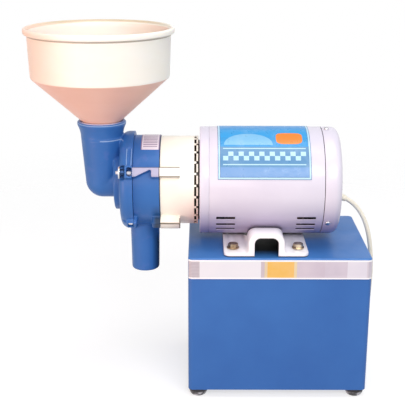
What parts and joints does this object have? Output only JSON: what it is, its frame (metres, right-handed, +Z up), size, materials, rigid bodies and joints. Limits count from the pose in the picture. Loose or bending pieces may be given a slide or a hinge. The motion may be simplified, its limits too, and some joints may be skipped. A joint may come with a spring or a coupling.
{
  "type": "soybean grinder",
  "caption": "Electric soybean grinder: a funnel hopper over a cast feed cup and stone drum with a spout, driven by a motor on a box stand.",
  "frame": {"origin": "centre of the footprint box at floor level, measured without the mains lead", "axes": "+X along the shaft from the hopper to the motor, +Z up, the printed band faces -Y"},
  "size_m": [0.5286, 0.3841, 0.538],
  "materials": {
    "blue_paint": "satin paint on folded sheet steel",
    "rubber": "moulded rubber",
    "band_print": "printed film, bare of words",
    "grey_paint": "light grey gloss paint",
    "chrome": "bright plated steel",
    "white_paint": "off-white gloss paint",
    "plate_print": "printed plate, bare of words",
    "steel": "turned steel",
    "copper_winding": "enamelled wire",
    "fan_plastic": "moulded plastic",
    "ivory_paint": "cream gloss paint on a casting",
    "blue_enamel": "glossy blue paint on a casting",
    "grindstone": "bonded abrasive",
    "ivory_plastic": "moulded cream plastic",
    "cord_plastic": "flexible cream sheath"
  },
  "bodies": {
    "stand": {"stand_lid": "blue_paint", "stand_cabinet": "blue_paint", "stand_rear_panel": "blue_paint", "stand_base_plate": "blue_paint", "rubber_foot_1": "rubber", "rubber_foot_2": "rubber", "rubber_foot_3": "rubber", "rubber_foot_4": "rubber", "shaft_seal": "rubber", "cover_gasket": "rubber", "cord_tie": "rubber", "front_band": "band_print", "motor_shell": "grey_paint", "motor_front_shield": "grey_paint", "motor_end_cap": "grey_paint", "cap_screw_1": "chrome", "cap_screw_2": "chrome", "cap_screw_3": "chrome", "foot_bolt_1": "chrome", "foot_bolt_2": "chrome", "foot_bolt_3": "chrome", "foot_bolt_4": "chrome", "adjusting_nut_1": "chrome", "adjusting_nut_2": "chrome", "adjusting_nut_3": "chrome", "adjusting_nut_4": "chrome", "clamp_stud_1": "chrome", "clamp_stud_2": "chrome", "cover_dowel_1": "chrome", "cover_dowel_2": "chrome", "motor_foot": "white_paint", "motor_name_plate": "plate_print", "stator_core": "steel", "front_bearing": "steel", "rear_bearing": "steel", "adapter_screw_1": "steel", "adapter_screw_2": "steel", "adapter_screw_3": "steel", "adapter_screw_4": "steel", "stator_winding_front": "copper_winding", "stator_winding_rear": "copper_winding", "motor_adapter": "ivory_paint", "grinding_drum": "blue_enamel", "feed_cover": "blue_enamel", "fixed_stone": "grindstone", "cord_gland": "cord_plastic", "cord_lead": "cord_plastic", "cord_coil": "cord_plastic", "mains_plug": "cord_plastic"},
    "spindle": {"motor_shaft": "steel", "rotor_core": "steel", "cooling_fan": "fan_plastic", "stone_carrier": "steel", "running_stone": "grindstone", "feed_auger": "steel"},
    "hopper": {"hopper": "ivory_plastic"},
    "hand_nut_front": {"hand_nut_1": "chrome"},
    "hand_nut_rear": {"hand_nut_2": "chrome"}
  },
  "joints": [
    {"name": "shaft_spin", "type": "hinge", "parent": "stand", "child": "spindle", "pos_m": [0, 0, 0.311], "axis": [1, 0, 0], "continuous": true},
    {"name": "hopper_lift", "type": "slide", "parent": "stand", "child": "hopper", "axis": [0, 0, 1], "range_m": [0, 0.12]},
    {"name": "hand_nut_front_turn", "type": "hinge", "parent": "stand", "child": "hand_nut_front", "pos_m": [-0.11375, -0.06618, 0.33936], "axis": [-1, 0, 0], "range_deg": [0, 1080]},
    {"name": "hand_nut_rear_turn", "type": "hinge", "parent": "stand", "child": "hand_nut_rear", "pos_m": [-0.11375, 0.06618, 0.33936], "axis": [-1, 0, 0], "range_deg": [0, 1080]}
  ]
}
